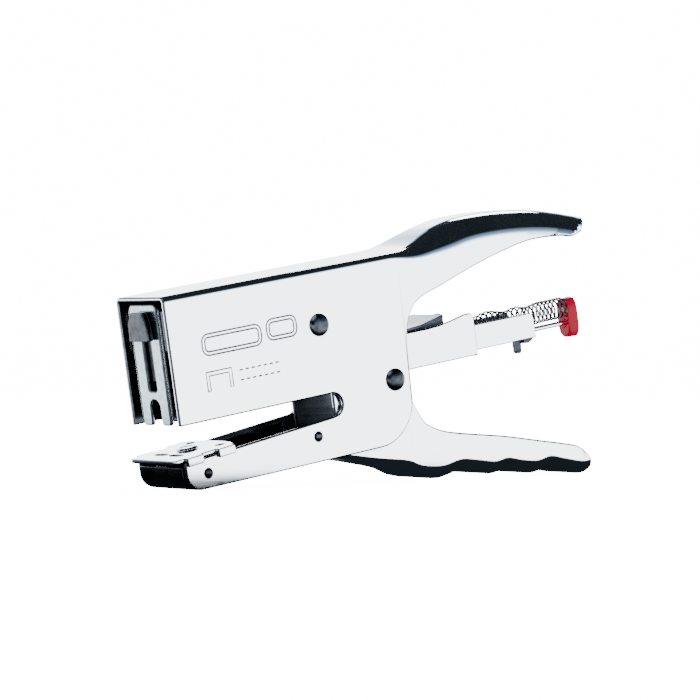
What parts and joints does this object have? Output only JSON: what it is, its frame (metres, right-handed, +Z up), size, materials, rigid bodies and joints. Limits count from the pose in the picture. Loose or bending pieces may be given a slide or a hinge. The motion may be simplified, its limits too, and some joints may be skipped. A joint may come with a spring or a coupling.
{
  "type": "plier stapler",
  "caption": "Hand-held plier stapler in polished steel: C-shaped housing with upper handle, squeeze lever, swinging magazine and pull-out spring feeder.",
  "frame": {"origin": "on the table, below the middle of the standing stapler's bounding box", "axes": "+Z up; +X from the head towards the handles; +Y across the 24 mm width. The stapler stands on the front of its anvil arm and on its lower handle, so the head's long edges rise towards +X by 9.06 degrees"},
  "size_m": [0.1616, 0.027, 0.0802],
  "materials": {
    "polished_steel": "bright nickel-chrome plated pressed steel",
    "inner_steel": "plain bright rolled steel",
    "rivet_steel": "polished dark nickel rivet steel",
    "spring_steel": "oiled drawn spring wire",
    "red_plastic": "glossy moulded plastic"
  },
  "bodies": {
    "frame": {"housing": "polished_steel", "anvil_channel": "polished_steel", "anvil_plate": "polished_steel", "anvil_rivet": "polished_steel", "anvil_pin_front": "rivet_steel", "anvil_pin_rear": "rivet_steel", "pivot_rivet": "rivet_steel", "stop_rivet": "rivet_steel", "stop_bush": "inner_steel", "return_spring": "spring_steel"},
    "lever": {"lower_handle": "polished_steel", "pivot_bush": "inner_steel", "nose_cap": "inner_steel"},
    "magazine": {"magazine_channel": "polished_steel", "front_plate": "polished_steel", "staple_rail": "polished_steel", "rail_rivet_front": "inner_steel", "rail_rivet_rear": "inner_steel", "magazine_cover": "inner_steel", "clamp_spring": "spring_steel"},
    "driver": {"driver_blade": "inner_steel"},
    "feeder": {"feeder_rod": "polished_steel", "feeder_knob": "red_plastic", "feeder_spring": "spring_steel", "rod_catch": "inner_steel"},
    "pusher": {"pusher": "inner_steel"}
  },
  "joints": [
    {"name": "lever_squeeze", "type": "hinge", "parent": "frame", "child": "lever", "pos_m": [0.0017, 0, 0.02982], "axis": [0, -1, 0], "range_deg": [0, 15], "stiffness_Nm_per_rad": 3, "springref_deg": -17.19, "deforming": ["return_spring", "clamp_spring"]},
    {"name": "magazine_swing", "type": "hinge", "parent": "frame", "child": "magazine", "pos_m": [0.0017, 0, 0.02982], "axis": [0, -1, 0], "range_deg": [0, 6.5]},
    {"name": "driver_stroke", "type": "slide", "parent": "magazine", "child": "driver", "axis": [0.1575, 0, -0.9875], "range_m": [0, 0.011]},
    {"name": "feeder_pull", "type": "slide", "parent": "magazine", "child": "feeder", "axis": [0.9875, 0, 0.1575], "range_m": [0, 0.11]},
    {"name": "pusher_slide", "type": "slide", "parent": "feeder", "child": "pusher", "axis": [0.9875, 0, 0.1575], "range_m": [0, 0.08], "stiffness_N_per_m": 25, "springref_m": -0.12, "deforming": ["feeder_spring"]}
  ],
  "couplings": [
    {"joint": "magazine_swing", "follows": "lever_squeeze", "ratio": 0.43},
    {"joint": "driver_stroke", "follows": "lever_squeeze", "m_per_rad": 0.04125}
  ]
}
